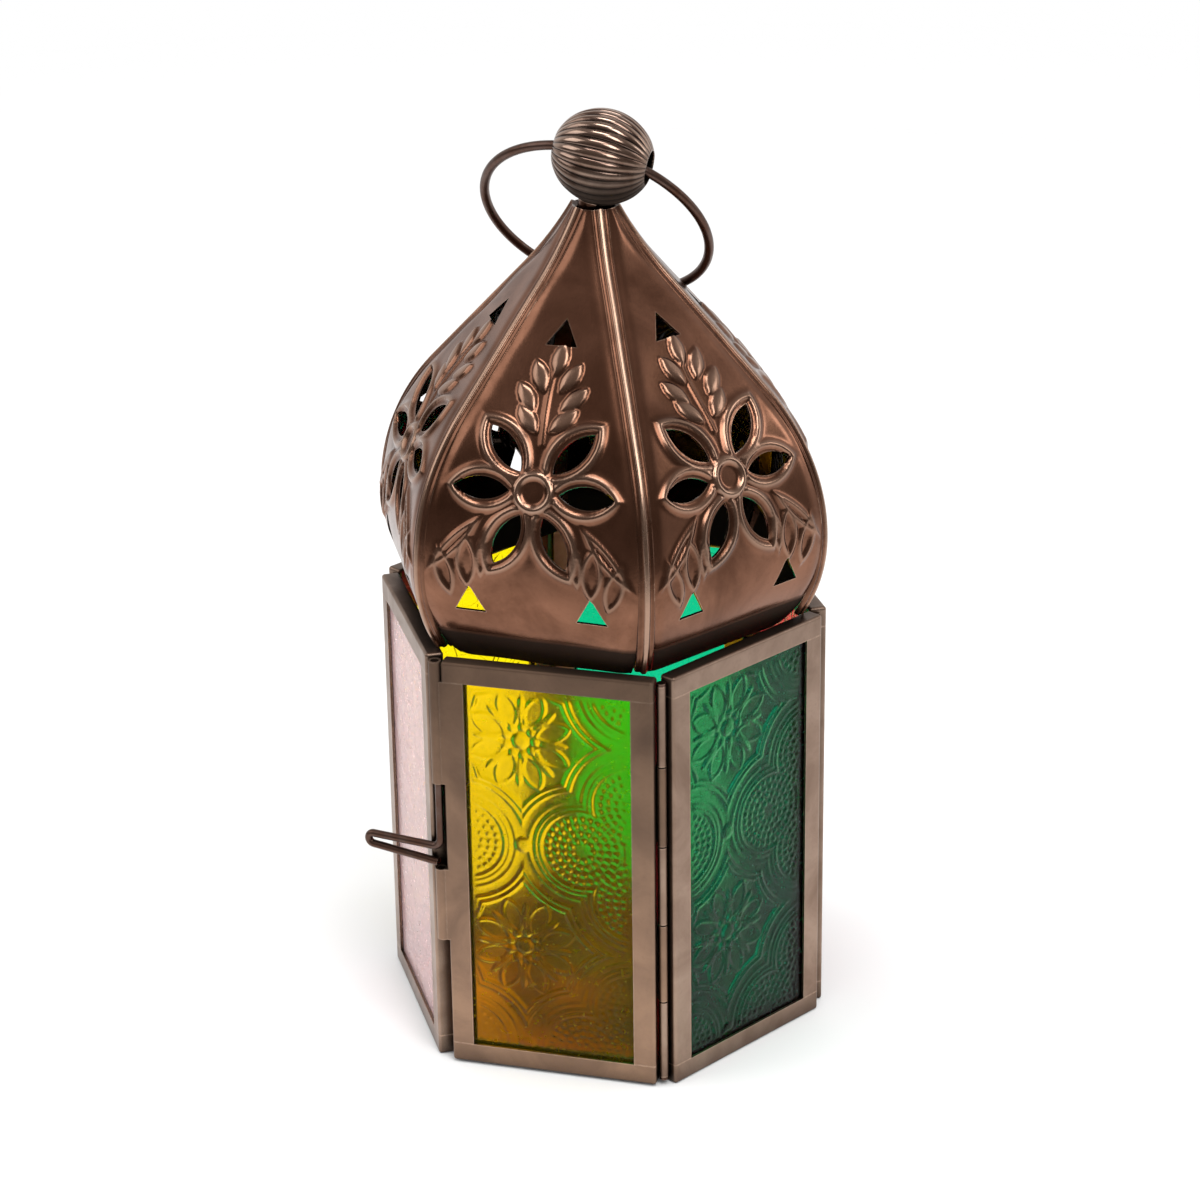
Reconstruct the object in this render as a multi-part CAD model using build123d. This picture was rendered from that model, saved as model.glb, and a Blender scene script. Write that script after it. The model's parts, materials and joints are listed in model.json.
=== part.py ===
from build123d import *
import os
from math import asin, copysign, cos, degrees, radians, sin, sqrt, tan

# Candle lantern: a six-sided sheet-metal body with framed glass panels, a pierced onion roof,
# a finial bead with a loose carrying ring, and a glazed front door with a turning wire latch.
# Millimetres. +Z is up, the origin is the centre of the footprint, and the door faces -Y.
# Azimuth is counted about +Z from -Y, so 0 is the front and 90 is the right-hand side.

# Body frames: folded channel round each pane
SIDES = 6
body_apothem = 39.0        # axis to the outer face of a panel
frame_height = 85.0
frame_sheet = 0.5
fold_radius = 0.6
stile_width = 4.3
rail_height = 4.0
corner_play = 0.25         # a frame's inner edge to the corner plane
glass_thickness = 2.2
glass_play = 0.15          # between a pane and each flange
glass_edge_play = 0.6      # between a pane's edges and the channel's web

# Solder at the fixed corners
solder_depth = 1.1
solder_margin = 1.0

# Floor tray and candle cup
tray_floor = 0.6
tray_wall = 0.5
tray_rim = 4.0
cup_bore = 40.6            # takes a 38 mm tea light
cup_height = 12.0
cup_sheet = 0.5

# Door and its hinge
door_play = 0.4            # above, below and behind the door
pin_diameter = 1.1
barrel_wall = 0.3
hinge_play = 0.15          # a hinge barrel to the stiles on each side of it
running_play = 0.05        # radial, round a pin or wire
knuckle_count = 5
knuckle_gap = 0.3
hinge_margin = 1.5
pin_head_overhang = 0.3
pin_head_height = 0.6

# Latch: a bent wire turning in a rolled sleeve on the door's free edge
latch_diameter = 1.5
sleeve_wall = 0.4
sleeve_proud = 0.4         # past the outer face of the door
sleeve_play = 0.05         # off the edge of the door
upper_sleeve = 25.0
sleeve_notch = 17.9
lower_sleeve = 15.0
latch_rest = 0.3           # prong to the lower sleeve
latch_top_play = 0.4
latch_reach = 15.5
latch_bend = 1.7
latch_loop = 1.1
prong_spread = 4.4         # degrees, the prong away from the arm
prong_setback = 0.6
latch_turned = 50.0        # degrees off the neighbouring panel's face

# Roof outline, heights above the frames
roof_sheet = 0.5
roof_turn = -3.8           # degrees, as the roof sits on the body
foot_inset = 0.2           # outer face of the seams' feet past the frames' inner face
hem_tuck = 1.3             # outer face of the panels' hem inside the frames' inner face
hem_drop = 2.1             # lower edge of the panels' hem below the frames' top
belly_apothem = 39.7
belly_rise = 16.0
roof_slope = 39.3          # degrees from vertical, along the straight stretch
flare_radius = 70.0
roof_top_lean = 27.0       # degrees from vertical, at the top edge
roof_rise = 77.5
neck_play = 1.1            # finial neck to the roof's top edge
seam_width = 3.0
seam_groove = 0.15

# Pierced ornament of each roof panel
flower_rise = 33.6
petal_start = 4.8
petal_length = 10.6
petal_width = 4.2
petal_angles = (40.0, 90.0, 153.0)   # each side of straight up
triangle_base = 6.0
triangle_height = 5.4
upper_triangle_rise = 58.4
lower_triangle_rise = 12.8
lower_triangle_offset = 11.7

# Finial
cap_drop = 4.5
cap_thickness = 1.0
cap_play = 0.1
neck_diameter = 6.4
bead_length = 19.2
bead_diameter = 17.6
bead_sheet = 0.5
bead_hole = 6.4
bead_seat_play = 0.05
finial_tilt = 10.0         # degrees, towards +X

# Carrying ring
ring_wire = 1.8
ring_diameter = 44.3       # at the middle of the wire
ring_drop = 1.0            # the wire lies low in the bead's holes
ring_cant = 6.0            # degrees in the ring's own plane, its low side towards -X
ring_play = 1.15           # from the hanging ring to the rear roof panel

# Values that follow from the sizes above
half_side = 180.0 / SIDES
frame_depth = glass_thickness + 2 * (glass_play + frame_sheet)
inner_apothem = body_apothem - frame_depth
half_width = inner_apothem * tan(radians(half_side)) - corner_play
door_bottom = door_play
door_top = frame_height - door_play

belly_height = frame_height + belly_rise
roof_top = frame_height + roof_rise

PANELS = {
    "front_right": 60,
    "rear_right": 120,
    "rear": 180,
    "rear_left": 240,
    "front_left": 300,
}
ROOF_PANELS = {"front": 0, **PANELS}
CORNERS = {
    "right_front": 30,
    "right": 90,
    "right_rear": 150,
    "left_rear": 210,
    "left": 270,
    "left_front": 330,
}
HINGE_CORNER = CORNERS["right_front"]
LATCH_CORNER = CORNERS["left_front"]


def heading(azimuth):
    """Unit vector that points outwards at an azimuth."""
    angle = radians(azimuth)
    return Vector(sin(angle), -cos(angle), 0)


def block(x_span, y_span, z_span):
    """Box between two limits on each axis."""
    size = [high - low for low, high in (x_span, y_span, z_span)]
    middle = [(low + high) / 2 for low, high in (x_span, y_span, z_span)]
    return Pos(*middle) * Box(*size)


def rod(radius, low, high):
    """Upright cylinder on the Z axis between two heights."""
    return Pos(0, 0, (low + high) / 2) * Cylinder(radius, high - low)


def hexagon(apothem, low, high):
    """Six-sided prism with flats at the panels' azimuths."""
    side = RegularPolygon(apothem, SIDES, major_radius=False)
    return extrude(Pos(0, 0, low) * side, amount=high - low)


# Panel frames


def stile(side, low, high):
    """Upright channel of the front panel: side is -1 for its left edge and 1 for its right."""
    edge = side * half_width
    opening = edge - side * stile_width
    web = edge - side * frame_sheet
    front = -body_apothem
    back = -inner_apothem
    body = block(sorted((edge, opening)), (front, back), (low, high))
    upright = body.edges().filter_by(Axis.Z).group_by(Axis.X)
    body = fillet(upright[-1] if side > 0 else upright[0], fold_radius)
    beyond = opening - side * stile_width
    return body - block(sorted((web, beyond)), (front + frame_sheet, back - frame_sheet), (low, high))


def rail(low, high, opens_up):
    """Level channel of the front panel, with closed ends, open upwards or downwards."""
    front = -body_apothem
    back = -inner_apothem
    body = block((-half_width, half_width), (front, back), (low, high))
    closed_rim = body.edges().group_by(Axis.Z)[0 if opens_up else -1]
    body = fillet(closed_rim + body.edges().filter_by(Axis.Z), fold_radius)
    pocket = (low + frame_sheet, high + rail_height) if opens_up else (low - rail_height, high - frame_sheet)
    inner_width = half_width - frame_sheet
    return body - block((-inner_width, inner_width), (front + frame_sheet, back - frame_sheet), pocket)


def rails(low, high):
    """Bottom and top rail of the front panel."""
    return [rail(low, low + rail_height, True), rail(high - rail_height, high, False)]


def pane(low, high):
    """Glass of the front panel, standing on the bottom rail."""
    reach = half_width - frame_sheet - glass_edge_play
    middle = -body_apothem + frame_depth / 2
    return block(
        (-reach, reach),
        (middle - glass_thickness / 2, middle + glass_thickness / 2),
        (low + frame_sheet, high - frame_sheet - glass_edge_play),
    )


def at_panel(azimuth, shape):
    """Front-panel shape turned to another panel's azimuth."""
    return Rot(0, 0, azimuth) * shape


# Hinge barrels in the corner between two stiles, and the latch sleeve on the door's free edge


def barrel_radius(wire_diameter, wall):
    """Outer radius of the sheet rolled round a wire."""
    return wire_diameter / 2 + running_play + wall


hinge_radius = barrel_radius(pin_diameter, barrel_wall)
hinge_reach = (half_width + hinge_radius + hinge_play) / sin(radians(half_side))
hinge_axis = heading(HINGE_CORNER) * hinge_reach

sleeve_radius = barrel_radius(latch_diameter, sleeve_wall)
latch_axis = Vector(
    -half_width - sleeve_play - sleeve_radius, sleeve_radius - sleeve_proud - body_apothem, 0
)


def with_barrels(body, axis, radius, wall, leaf, spans):
    """Stile of the front panel with barrels rolled about an axis, each joined to it by a leaf."""
    stile_box = body.bounding_box()
    root = copysign(half_width - fold_radius, axis.X)
    for low, high in spans:
        joined = (max(low, stile_box.min.Z), min(high, stile_box.max.Z))
        strap = block(sorted((root, axis.X)), leaf, joined)
        shell = Pos(axis.X, axis.Y, 0) * rod(radius, low, high)
        bore = Pos(axis.X, axis.Y, 0) * rod(radius - wall, low, high)
        body += strap + shell - bore
    return body


def with_knuckles(body, side, spans):
    """Stile with hinge knuckles beyond its web."""
    axis = Vector(side * hinge_axis.X, hinge_axis.Y, 0)
    leaf = (axis.Y + hinge_radius - barrel_wall, axis.Y + hinge_radius)
    return with_barrels(body, axis, hinge_radius, barrel_wall, leaf, spans)


def with_sleeves(body, spans):
    """Stile of the door with the latch sleeve rolled from its outer flange."""
    leaf = (-body_apothem, -body_apothem + sleeve_wall)
    return with_barrels(body, latch_axis, sleeve_radius, sleeve_wall, leaf, spans)


def knuckle_spans():
    """Heights of the hinge knuckles from the bottom up; the fixed side has the odd ones."""
    low = hinge_margin
    pitch = (frame_height - 2 * hinge_margin) / knuckle_count
    return [
        (low + i * pitch + knuckle_gap / 2, low + (i + 1) * pitch - knuckle_gap / 2)
        for i in range(knuckle_count)
    ]


def hinge_pin():
    """Hinge wire with a peened head at each end."""
    spans = knuckle_spans()
    low = spans[0][0]
    high = spans[-1][1]
    radius = pin_diameter / 2
    head = radius + running_play + pin_head_overhang
    shape = rod(radius, low - pin_head_height, high + pin_head_height)
    shape += rod(head, low - pin_head_height, low)
    shape += rod(head, high, high + pin_head_height)
    return Pos(hinge_axis.X, hinge_axis.Y, 0) * shape


notch_top = door_top - upper_sleeve
notch_bottom = notch_top - sleeve_notch
SLEEVES = [(notch_bottom - lower_sleeve, notch_bottom), (notch_top, door_top)]


def latch_wire():
    """Wire that stands in the sleeve, bends out and doubles back on itself."""
    prong = notch_bottom + latch_rest + latch_diameter / 2
    straight_end = latch_reach - latch_loop
    spread_sin = sin(radians(prong_spread))
    spread_cos = cos(radians(prong_spread))
    loop_end = straight_end + latch_loop * spread_sin
    prong_rise = prong + (loop_end - prong_setback) * spread_sin / spread_cos
    arm = prong_rise + latch_loop * (1 + spread_cos)
    top = door_top - latch_top_play
    turn = sin(radians(45))
    path = [
        Line((0, top), (0, arm + latch_bend)),
        ThreePointArc(
            (0, arm + latch_bend),
            (latch_bend * (1 - turn), arm + latch_bend * (1 - turn)),
            (latch_bend, arm),
        ),
        Line((latch_bend, arm), (straight_end, arm)),
        ThreePointArc((straight_end, arm), (latch_reach, arm - latch_loop), (loop_end, prong_rise)),
        Line((loop_end, prong_rise), (prong_setback, prong)),
    ]
    # The neighbouring panel runs away from this corner at the azimuth "along".
    along = LATCH_CORNER - 90 - half_side
    out = heading(along + latch_turned)
    plane = Plane(origin=latch_axis, x_dir=out, z_dir=out.cross(Vector(0, 0, 1)))
    route = plane * Wire(path)
    start = Plane(origin=route @ 0, z_dir=route % 0)
    return sweep(start * Circle(latch_diameter / 2), path=route)


# Floor


def floor_tray():
    """Shallow six-sided tray soldered inside the frames, held back from the door."""
    reach = 2 * inner_apothem
    door_face = -(inner_apothem - door_play)
    keep = block((-reach, reach), (door_face, reach), (0, tray_rim))
    inside = block((-reach, reach), (door_face + tray_wall, reach), (tray_floor, tray_rim))
    body = hexagon(inner_apothem, 0, tray_rim) & keep
    return body - (hexagon(inner_apothem - tray_wall, tray_floor, tray_rim) & inside)


def candle_cup():
    """Low round cup that holds a tea light on the tray."""
    bore = cup_bore / 2
    low = tray_floor
    body = rod(bore + cup_sheet, low, low + cup_height)
    return body - rod(bore, low + cup_sheet, low + cup_height)


def corner_solder():
    """Solder runs between neighbouring frames, above the tray and below the roof."""
    reach = inner_apothem / cos(radians(half_side))
    wall = half_width / sin(radians(half_side))
    runs = []
    for azimuth in CORNERS.values():
        if azimuth in (HINGE_CORNER, LATCH_CORNER):
            continue
        # The frames' side walls open at half a side's angle from the corner plane.
        near = reach + fold_radius
        far = near + solder_depth
        narrow = (near - wall) * tan(radians(half_side))
        wide = (far - wall) * tan(radians(half_side))
        section = Polygon((near, -narrow), (far, -wide), (far, wide), (near, narrow), align=None)
        run = extrude(Pos(0, 0, solder_margin) * section, amount=frame_height - 2 * solder_margin)
        runs.append(Rot(0, 0, azimuth - 90) * run)
    return runs


# Roof outline in the plane of radius and height


def polar(centre, radius, angle):
    """Point on a circle, with the angle in degrees above the horizontal."""
    return (centre[0] + radius * cos(radians(angle)), centre[1] + radius * sin(radians(angle)))


def skirt(foot_apothem):
    """Centre and radius of the arc from the frames' top up to the belly, where the face is upright."""
    bulge = belly_apothem - foot_apothem
    radius = (belly_rise**2 + bulge**2) / (2 * bulge)
    return (belly_apothem - radius, belly_height), radius


hem_apothem = inner_apothem - hem_tuck
foot_apothem = inner_apothem + foot_inset

# The flare is a hollow arc that ends at the top edge, round the finial neck.
top_apothem = neck_diameter / 2 + neck_play + roof_sheet / cos(radians(roof_top_lean))
flare_centre = polar((top_apothem, roof_top), flare_radius, roof_top_lean)
flare_start = polar(flare_centre, -flare_radius, roof_slope)

# The belly is the arc that is upright at the belly and runs into the straight stretch.
slope_cos = cos(radians(roof_slope))
slope_sin = sin(radians(roof_slope))
belly_radius = (
    (flare_start[0] - belly_apothem) * slope_cos + (flare_start[1] - belly_height) * slope_sin
) / (1 - slope_cos)
belly_centre = (belly_apothem - belly_radius, belly_height)
shoulder = polar(belly_centre, belly_radius, roof_slope)


def arc(centre, radius, start, end):
    """Arc between two angles about a centre."""
    middle = (start + end) / 2
    return ThreePointArc(
        polar(centre, radius, start), polar(centre, radius, middle), polar(centre, radius, end)
    )


def roof_line(inset, base_apothem, drop):
    """Roof outline from a lower edge so far below the frames' top, set in from the outer face."""
    skirt_centre, skirt_radius = skirt(base_apothem)
    foot_angle = -degrees(asin((belly_rise + drop) / skirt_radius))
    rising = polar(belly_centre, belly_radius - inset, roof_slope)
    flaring = polar(flare_centre, -flare_radius - inset, roof_slope)
    return [
        arc(skirt_centre, skirt_radius - inset, foot_angle, 0),
        arc(belly_centre, belly_radius - inset, 0, roof_slope),
        Line(rising, flaring),
        arc(flare_centre, -flare_radius - inset, roof_slope, roof_top_lean),
    ]


def roof_section(base_apothem, drop):
    """Upright section through the roof's sheet, with the radius along +X."""
    outer = roof_line(0, base_apothem, drop)
    inner = roof_line(roof_sheet, base_apothem, drop)
    ends = [Line(outer[0] @ 0, inner[0] @ 0), Line(outer[-1] @ 1, inner[-1] @ 1)]
    return Plane.XZ * make_face(outer + inner + ends)


def roof_station(height):
    """Apothem of a roof panel's outer face and the angle of its normal at a height."""
    if height < belly_height:
        skirt_centre, skirt_radius = skirt(hem_apothem)
        angle = -degrees(asin((belly_height - height) / skirt_radius))
        return polar(skirt_centre, skirt_radius, angle)[0], angle
    if height < shoulder[1]:
        angle = degrees(asin((height - belly_height) / belly_radius))
        return polar(belly_centre, belly_radius, angle)[0], angle
    if height < flare_start[1]:
        return shoulder[0] - (height - shoulder[1]) * tan(radians(roof_slope)), roof_slope
    angle = degrees(asin((flare_centre[1] - height) / flare_radius))
    return polar(flare_centre, -flare_radius, angle)[0], angle


def roof_plane(rise):
    """Plane that touches the roof panel at +X, with its Y axis up the slope."""
    height = frame_height + rise
    apothem, angle = roof_station(height)
    normal = (cos(radians(angle)), 0, sin(radians(angle)))
    return Plane(origin=(apothem, 0, height), x_dir=(0, 1, 0), z_dir=normal)


def petal_hole(angle):
    """Pointed oval that starts beside the flower's boss."""
    start = (0, petal_start)
    middle = petal_start + petal_length / 2
    end = (0, petal_start + petal_length)
    left = ThreePointArc(start, (-petal_width / 2, middle), end)
    right = ThreePointArc(end, (petal_width / 2, middle), start)
    return Rot(0, 0, angle) * make_face([left, right])


def triangle_hole(offset):
    """Upright triangle."""
    half = triangle_base / 2
    low = -triangle_height / 2
    corners = [(offset - half, low), (offset + half, low), (offset, low + triangle_height)]
    return Polygon(*corners, align=None)


def roof_holes():
    """Punches for the flower and the three triangles of the roof panel at +X."""
    depth = petal_length
    petals = [petal_hole(side * angle) for angle in petal_angles for side in (-1, 1)]
    lower = [triangle_hole(side * lower_triangle_offset) for side in (-1, 1)]
    rows = [
        (flower_rise, petals),
        (lower_triangle_rise, lower),
        (upper_triangle_rise, [triangle_hole(0)]),
    ]
    punches = []
    for rise, shapes in rows:
        plane = roof_plane(rise)
        punches += [extrude(plane * shape, amount=depth, both=True) for shape in shapes]
    return punches


def roof_panel():
    """Single-curved roof panel at +X, cut back for the seam strips at its edges."""
    reach = 2 * belly_apothem
    margin = seam_width / 2 + seam_groove
    apex = margin / sin(radians(half_side))
    spread = reach * tan(radians(half_side))
    wedge = Polygon((apex, 0), (apex + reach, -spread), (apex + reach, spread), align=None)
    sheet = extrude(roof_section(hem_apothem, hem_drop), amount=spread, both=True)
    sheet &= extrude(wedge, amount=roof_top + frame_height)
    for punch in roof_holes():
        sheet -= punch
    return sheet


def roof_seam():
    """Strip along a roof corner at +X, whose foot stands on the frames."""
    stretch = 1 / cos(radians(half_side))
    drop = seam_width / 2 * tan(radians(half_side))
    section = scale(roof_section(foot_apothem, 0), by=(stretch, 1, 1))
    strip = extrude(Pos(-drop, 0, 0) * section, amount=seam_width / 2, both=True)
    reach = 2 * belly_apothem
    return strip & block((-reach, reach), (-reach, reach), (frame_height, roof_top + reach))


def at_roof(azimuth, shape):
    """Shape made at +X turned to an azimuth of the roof."""
    return Rot(0, 0, azimuth - 90 + roof_turn) * shape


# Finial, made upright and then tilted about the middle of the roof's top edge


finial = Pos(0, 0, roof_top) * Rot(0, finial_tilt, 0)
bead_place = finial * Pos(0, 0, bead_diameter / 2)
cap_top = roof_top - cap_drop


def roof_cap():
    """Disc that closes the roof's narrow end from inside and carries the finial."""
    apothem, angle = roof_station(cap_top)
    radius = apothem - roof_sheet / cos(radians(angle)) - cap_play
    return rod(radius, cap_top - cap_thickness, cap_top)


def ball(length, diameter):
    """Ellipsoid turned about the X axis."""
    half = EllipticalCenterArc((0, 0), length / 2, diameter / 2, arc_size=180)
    return revolve(make_face([half, Line(half @ 1, half @ 0)]), Axis.X)


def finial_neck():
    """Stub between the roof cap and the bead."""
    radius = neck_diameter / 2
    stub = finial * rod(radius, -2 * cap_drop, bead_diameter / 2)
    seat = bead_place * ball(bead_length + 2 * bead_seat_play, bead_diameter + 2 * bead_seat_play)
    reach = bead_length
    return stub - seat & block((-reach, reach), (-reach, reach), (cap_top, roof_top + reach))


def finial_bead():
    """Hollow bead with a hole at each pole for the ring."""
    shell = ball(bead_length, bead_diameter)
    shell -= ball(bead_length - 2 * bead_sheet, bead_diameter - 2 * bead_sheet)
    shell -= Rot(0, 90, 0) * Cylinder(bead_hole / 2, 2 * bead_length)
    return bead_place * shell


def ring_lean(reach):
    """Angle from straight down at which a ring of that reach lies along the rear roof panel."""
    rise = bead_place.position.Z - flare_start[1]
    clearance = ring_wire / 2 + ring_play
    offset = clearance + flare_start[0] * slope_cos - rise * slope_sin
    return roof_slope + degrees(asin(offset / reach))


def carry_ring():
    """Round wire ring through the bead, leaning towards the back of the roof."""
    radius = ring_diameter / 2
    grip = (bead_length - bead_sheet) / 2
    hang = sqrt(radius**2 - grip**2)
    ring = Pos(0, 0, -hang) * Rot(90, 0, 0) * Torus(radius, ring_wire / 2)
    ring = Pos(0, 0, -ring_drop) * Rot(0, ring_cant, 0) * ring
    reach = ring_drop + hang * cos(radians(ring_cant)) + radius
    return bead_place * Rot(ring_lean(reach), 0, 0) * ring


# Writing the nodes


def write(name, shape):
    """Write one node, as a group where it has several solids."""
    if isinstance(shape, list):
        shape = Compound(children=shape)
    export_step(shape, f"parts/{name}.step")


os.makedirs("parts", exist_ok=True)

stile_low = rail_height
stile_high = frame_height - rail_height
fixed_knuckles = knuckle_spans()[0::2]
door_knuckles = knuckle_spans()[1::2]

for name, azimuth in PANELS.items():
    left = stile(-1, stile_low, stile_high)
    if name == "front_right":
        left = with_knuckles(left, -1, fixed_knuckles)
    stiles = [left, stile(1, stile_low, stile_high)]
    write(f"{name}_stiles", [at_panel(azimuth, part) for part in stiles])
    write(f"{name}_rails", [at_panel(azimuth, part) for part in rails(0, frame_height)])
    write(f"{name}_pane", at_panel(azimuth, pane(0, frame_height)))

door_low = door_bottom + rail_height
door_high = door_top - rail_height
hinge_side = stile(1, door_low, door_high)
write("door_hinge_stile", with_knuckles(hinge_side, 1, door_knuckles))
latch_side = stile(-1, door_low, door_high)
write("door_latch_stile", with_sleeves(latch_side, SLEEVES))
write("door_rails", rails(door_bottom, door_top))
write("door_pane", pane(door_bottom, door_top))
write("hinge_pin", hinge_pin())
write("latch_wire", latch_wire())

write("floor_tray", floor_tray())
write("candle_cup", candle_cup())
write("corner_solder", corner_solder())

panel = roof_panel()
for name, azimuth in ROOF_PANELS.items():
    write(f"roof_panel_{name}", at_roof(azimuth, panel))
seam = roof_seam()
for name, azimuth in CORNERS.items():
    write(f"roof_seam_{name}", at_roof(azimuth, seam))

write("roof_cap", roof_cap())
write("finial_neck", finial_neck())
write("finial_bead", finial_bead())
write("carry_ring", carry_ring())
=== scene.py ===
"""Looks of a small six-sided candle lantern: pressed roof, fluted bead, pattern glass and studio."""
import json
from functools import cache
from math import asin, cos, pi, radians, sin, tan

import bpy
import numpy as np
from bpy.props import FloatProperty, FloatVectorProperty, IntProperty, PointerProperty
from mathutils import Matrix, Vector
from mathutils.geometry import delaunay_2d_cdt


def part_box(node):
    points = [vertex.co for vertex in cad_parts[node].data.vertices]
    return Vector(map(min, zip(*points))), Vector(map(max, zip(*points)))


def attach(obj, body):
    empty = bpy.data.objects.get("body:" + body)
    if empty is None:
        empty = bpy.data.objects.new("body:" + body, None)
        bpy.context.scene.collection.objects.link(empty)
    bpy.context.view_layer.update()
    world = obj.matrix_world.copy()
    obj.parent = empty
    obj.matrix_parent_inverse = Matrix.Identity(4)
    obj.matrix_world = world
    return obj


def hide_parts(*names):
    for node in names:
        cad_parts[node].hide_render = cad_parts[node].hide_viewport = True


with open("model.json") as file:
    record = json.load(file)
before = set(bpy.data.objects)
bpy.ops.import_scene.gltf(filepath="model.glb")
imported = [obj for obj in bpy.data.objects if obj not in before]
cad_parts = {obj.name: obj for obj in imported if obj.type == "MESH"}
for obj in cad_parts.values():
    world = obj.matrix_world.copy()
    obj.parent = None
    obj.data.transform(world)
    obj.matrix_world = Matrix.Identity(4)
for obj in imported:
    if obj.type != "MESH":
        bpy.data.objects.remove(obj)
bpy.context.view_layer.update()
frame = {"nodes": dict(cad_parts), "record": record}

bl_info = {
    "name": "Candle lantern",
    "version": (1, 0, 0),
    "blender": (4, 5, 0),
    "location": "View3D > Sidebar > Lantern",
    "description": "Builds the looks of a six-sided candle lantern round its solids",
    "category": "Object",
}

MM = 0.001

SIDES = 6
HALF_SIDE = pi / SIDES
# Compass angles in degrees: 0 is the front, and they grow towards the right-hand side.
PANELS = {
    "front": 0,
    "front_right": 60,
    "rear_right": 120,
    "rear": 180,
    "rear_left": 240,
    "front_left": 300,
}
DOOR = "front"  # the panel that opens
SEAMS = {
    "right_front": 30,
    "right": 90,
    "right_rear": 150,
    "left_rear": 210,
    "left": 270,
    "left_front": 330,
}
PANE_GLASS = {
    "front": "amber",
    "front_right": "green",
    "rear_right": "red",
    "rear": "green",
    "rear_left": "amber",
    "front_left": "rose",
}
# Share of the light that a hazy glass scatters.
HAZE = {"amber": 0.02, "rose": 0.4}
# First numbers of the seeded waves in the panes, the roof panels and the corner strips.
PANE_SEED = 20
PANEL_SEED = 40
STRIP_SEED = 70
# Heights and lengths of those waves. The panes' height is in parts of their relief.
PANE_WAVE = 0.12
PANE_WAVE_LENGTH = 9 * MM
PANEL_WAVE = 0.09 * MM
PANEL_WAVE_LENGTH = 16 * MM
STRIP_WAVE = 0.06 * MM
STRIP_WAVE_LENGTH = 22 * MM


def length(name, description, millimetres):
    """Length property whose default is written in millimetres."""
    return FloatProperty(
        name=name, description=description, default=millimetres * MM, unit="LENGTH", precision=5
    )


def turn(name, description, angle):
    """Angle property whose default is written in degrees."""
    return FloatProperty(
        name=name, description=description, default=radians(angle), subtype="ANGLE", unit="ROTATION"
    )


def share(name, description, value):
    """Plain number between nothing and all of it."""
    return FloatProperty(
        name=name, description=description, default=value, min=0, max=1, subtype="FACTOR"
    )


def colour(name, description, value):
    """Linear colour property."""
    return FloatVectorProperty(
        name=name, description=description, default=value, size=3, min=0, max=1, subtype="COLOR"
    )


class RoofSizes(bpy.types.PropertyGroup):
    """Outline of the roof and its pressed ornament."""

    turned: turn("Turn", "How far the roof sits turned on the frames", -3.8)
    sheet: length("Sheet", "Thickness of the roof sheet", 0.5)
    foot_height: length("Foot height", "Height of the frames' top edge, where the seams stand", 85)
    foot_apothem: length("Foot apothem", "Distance out of the seams at their feet", 35.7)
    hem_apothem: length("Hem apothem", "Distance out of the panels at the height of the feet", 34.2)
    belly_apothem: length("Belly apothem", "Distance out of the roof at its fullest", 39.7)
    belly_height: length("Belly height", "Height where the roof is fullest", 101)
    hem_height: length("Hem height", "Height of the panels' lower edge", 82.9)
    slope: turn("Slope", "Angle of the straight stretch's normal above the horizontal", 39.3)
    flare_radius: length("Flare radius", "Radius of the hollow curve under the finial", 70)
    top_lean: turn("Top lean", "Angle of the normal at the top edge", 27)
    top_apothem: length("Top apothem", "Distance out of the top edge", 4.861)
    top_height: length("Top height", "Height of the top edge", 162.5)
    seam_width: length("Seam width", "Width of the strips along the corners", 3)
    seam_groove: length("Seam groove", "Gap between a strip and a panel", 0.15)
    seam_ridge: length("Seam ridge", "Width of the flat-topped ridge along a strip", 1.0)
    seam_sink: length("Seam sink", "How far a strip's flanges lie below its ridge", 0.6)
    edge_roll: length("Edge roll", "How far a panel's edges are rolled down to the strips", 0.35)
    edge_bend: length("Edge bend", "Width of a panel's rolled edges", 1.3)
    flower_height: length("Flower height", "Height of the flower's middle", 118.6)
    petal_start: length("Petal start", "From the flower's middle to a petal's inner tip", 4.8)
    petal_length: length("Petal length", "Length of a petal's opening", 10.6)
    petal_width: length("Petal width", "Width of a petal's opening", 4.2)
    triangle_base: length("Triangle base", "Base of a small triangle", 6)
    triangle_rise: length("Triangle rise", "Height of a small triangle", 5.4)
    upper_triangle: length("Upper triangle", "Height of the upper triangle's middle", 143.4)
    lower_triangle: length("Lower triangle", "Height of the lower triangles' middles", 97.8)
    lower_spread: length("Lower spread", "Lower triangles out from the middle line", 11.7)
    relief: length("Relief", "Height of the pressed ridges", 0.66)
    sheet_sink: length("Sheet sink", "How far the plain sheet lies below the solid's face", 0.38)
    mesh_step: length("Mesh step", "Point spacing on a pressed panel", 0.38)


class FinialSizes(bpy.types.PropertyGroup):
    """The fluted bead on the roof's point."""

    tilt: turn("Tilt", "Lean of the finial to the right", 10)
    bead_length: length("Bead length", "Bead along its bore", 19.2)
    bead_diameter: length("Bead diameter", "Bead across its bore", 17.6)
    bead_hole: length("Bead hole", "Bore at the bead's ends", 6.4)
    bead_sheet: length("Bead sheet", "Thickness of the bead's shell", 0.5)
    flute_depth: length("Flute depth", "Depth of the grooves between flutes", 0.5)
    flutes: IntProperty(name="Flutes", description="Flutes round the bead", default=28, min=3)


class GlassSizes(bpy.types.PropertyGroup):
    """Pattern of the pressed glass."""

    pitch: length("Pitch", "Distance between medallions", 43)
    medallion_x: length("Medallion across", "First medallion from a pane's middle line", 16.2)
    medallion_z: length("Medallion height", "Height of the first medallion", 48.5)
    relief: length("Relief", "Height of the pattern", 0.3)
    smooth: share("Smooth", "How far the pattern is pressed into the rose pane", 0.12)
    border: length("Border", "Plain border of a pane that its channel covers", 4.0)
    mesh_step: length("Mesh step", "Point spacing on a pane", 0.26)


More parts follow.
